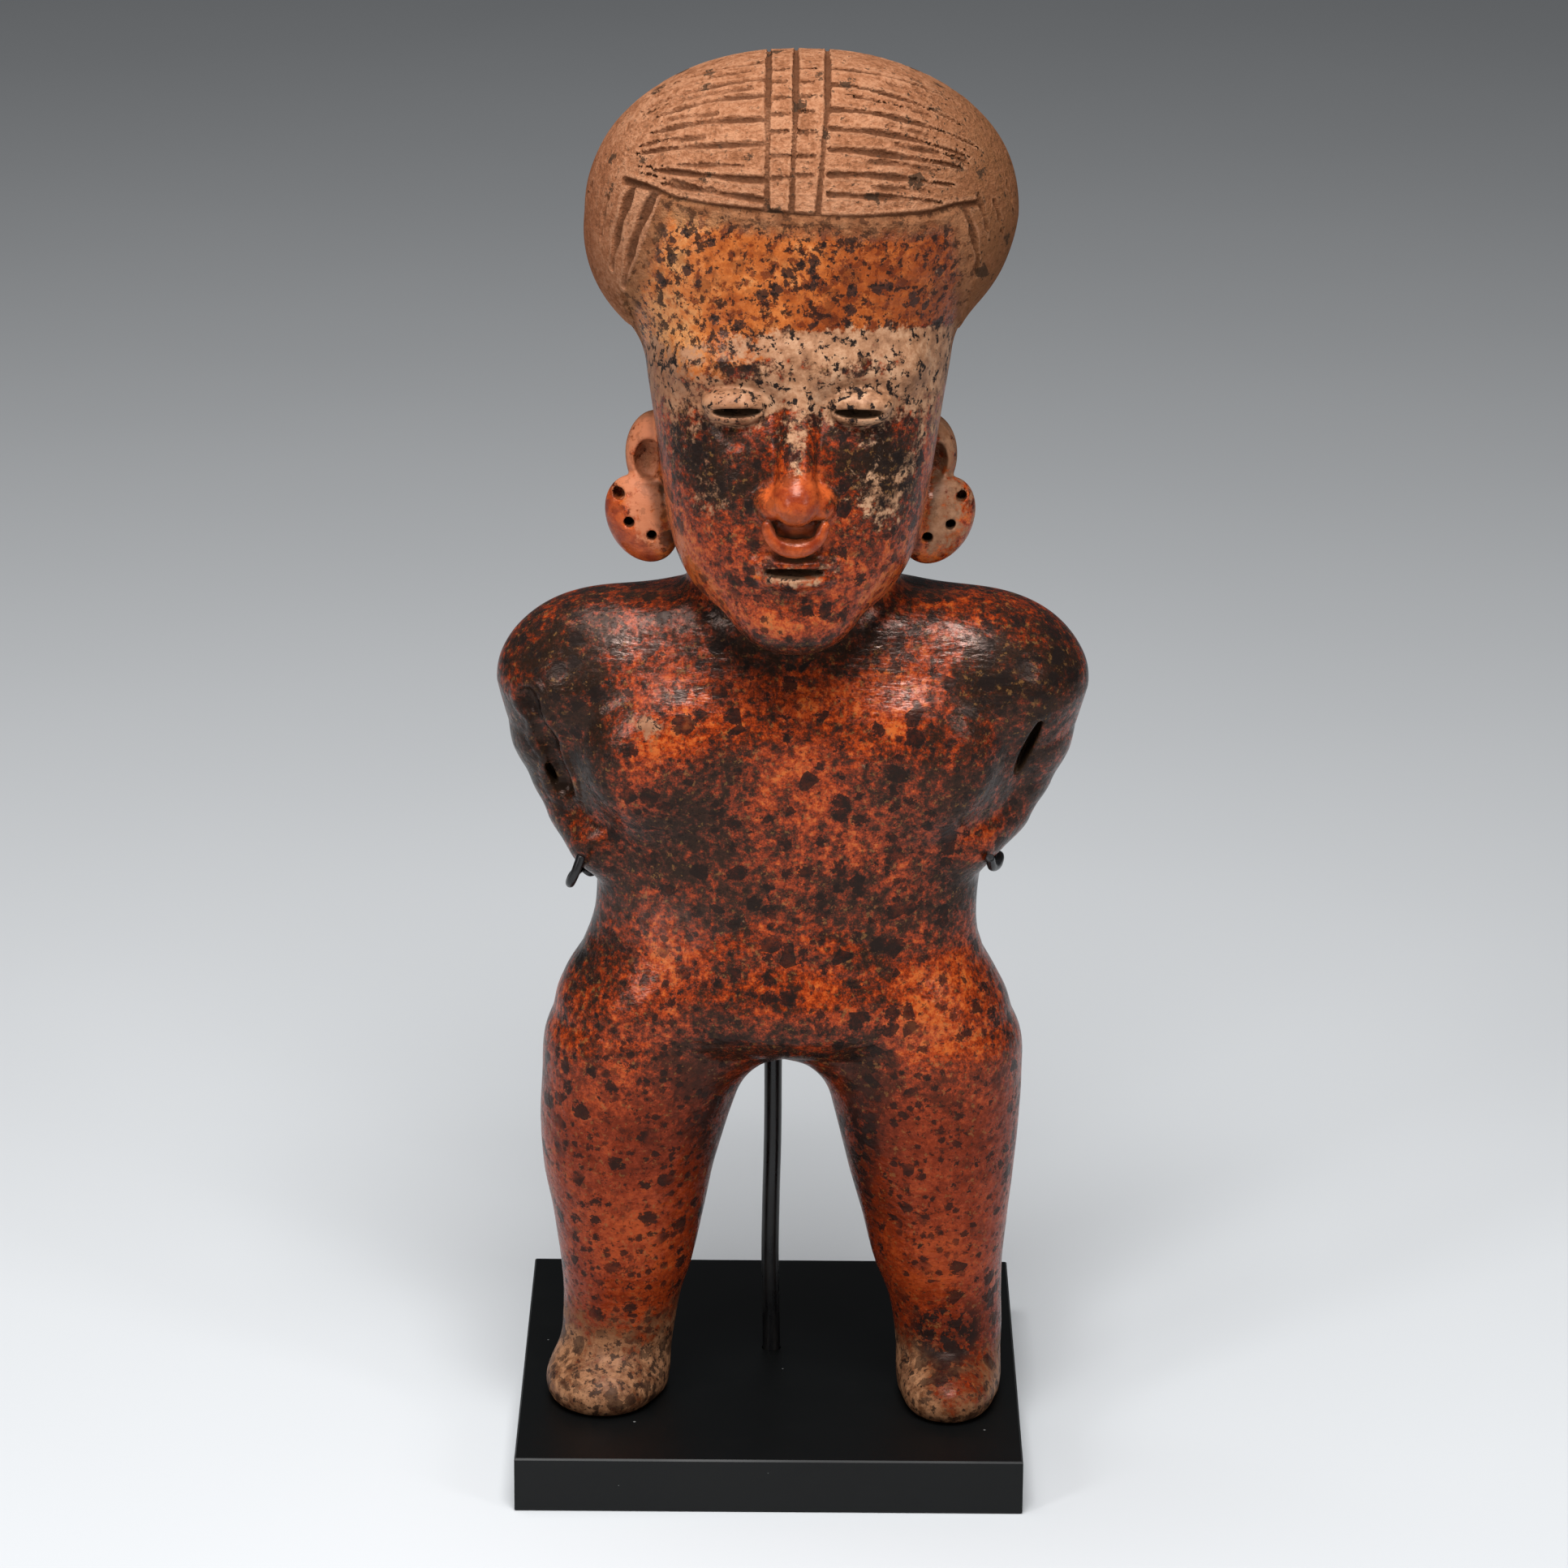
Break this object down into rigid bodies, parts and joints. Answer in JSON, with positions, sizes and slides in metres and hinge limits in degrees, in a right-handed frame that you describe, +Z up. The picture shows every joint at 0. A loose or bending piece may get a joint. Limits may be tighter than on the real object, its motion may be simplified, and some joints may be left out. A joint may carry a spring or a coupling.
{
  "type": "standing ceramic figure on a stand",
  "caption": "Burnished hollow ceramic standing figure, hands at its waist, incised hair and pierced ear ornaments, on a square black block with a bent support rod.",
  "frame": {"origin": "middle of the block's underside", "axes": "+Z up, -Y the way the figure faces, +X to the viewer's right"},
  "size_m": [0.2038, 0.1915, 0.5061],
  "materials": {
    "burnished_clay": "burnished slip over fired clay, semi-gloss, mottled dark",
    "black_block": "satin black",
    "blackened_steel": "semi-gloss black"
  },
  "bodies": {
    "root": {"figure": "burnished_clay", "base": "black_block", "support_rod": "blackened_steel"}
  },
  "joints": []
}
